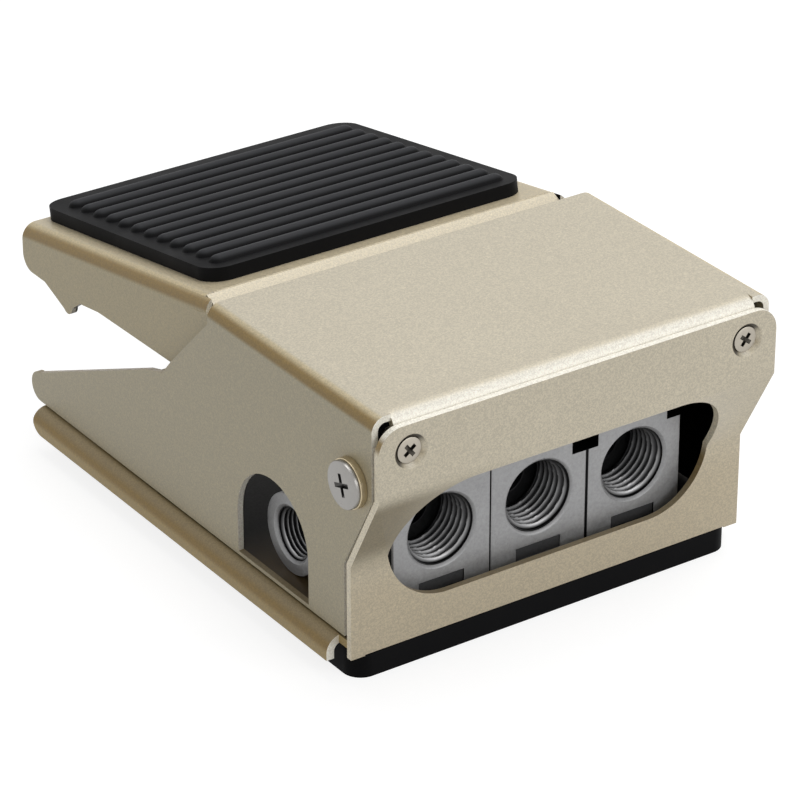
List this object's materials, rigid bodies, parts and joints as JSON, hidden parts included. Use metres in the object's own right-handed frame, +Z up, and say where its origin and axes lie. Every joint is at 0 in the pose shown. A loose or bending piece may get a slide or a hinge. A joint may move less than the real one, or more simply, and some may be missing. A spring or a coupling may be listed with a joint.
{
  "type": "foot pedal air valve",
  "caption": "Sheet-metal foot pedal valve with a ribbed rubber pad, threaded front air ports, a side supply port and a spring-returned pedal that shifts a spool.",
  "frame": {"origin": "on the floor under the middle of the whole part", "axes": "+Z up, +Y from the port side towards the pedal's free end, +X to the right seen from the port side"},
  "size_m": [0.086, 0.12, 0.0528],
  "materials": {
    "paint": "satin metallic",
    "rubber": "satin",
    "casting": "as cast",
    "zinc": "zinc plated",
    "steel": "ground",
    "brass": "turned"
  },
  "bodies": {
    "housing": {"rubber_mat": "rubber", "base_plate": "paint", "front_plate": "paint", "hood": "paint", "front_screws": "paint", "front_nuts": "zinc", "hood_screws": "zinc", "body_screws": "zinc", "valve_block_left": "casting", "valve_block_centre": "casting", "valve_block_right": "casting", "block_seals": "rubber", "tie_bolts": "zinc", "tie_nuts": "zinc", "spool_gland": "brass", "gland_seal": "rubber", "spool_spring": "steel", "pivot_screws": "zinc", "pivot_bushes": "brass", "pivot_washers": "zinc", "pivot_nuts": "zinc", "pedal_spring": "steel", "spring_seat": "zinc"},
    "pedal": {"pedal_plate": "paint", "pedal_pad": "rubber", "spool_cam": "steel", "cam_rivets": "zinc", "spring_stud": "zinc"},
    "spool": {"spool": "steel", "spool_seals": "rubber"}
  },
  "joints": [
    {"name": "pedal_hinge", "type": "hinge", "parent": "housing", "child": "pedal", "pos_m": [0, -0.0524, 0.0387], "axis": [-1, 0, 0], "range_deg": [0, 12], "stiffness_Nm_per_rad": 5.5, "springref_deg": -6.76, "deforming": ["pedal_spring"]},
    {"name": "spool_slide", "type": "slide", "parent": "housing", "child": "spool", "axis": [-1, 0, 0], "range_m": [0, 0.0044], "stiffness_N_per_m": 300, "springref_m": -0.008, "deforming": ["spool_spring"]}
  ],
  "couplings": [
    {"joint": "spool_slide", "follows": "pedal_hinge", "m_per_rad": 0.02058}
  ]
}
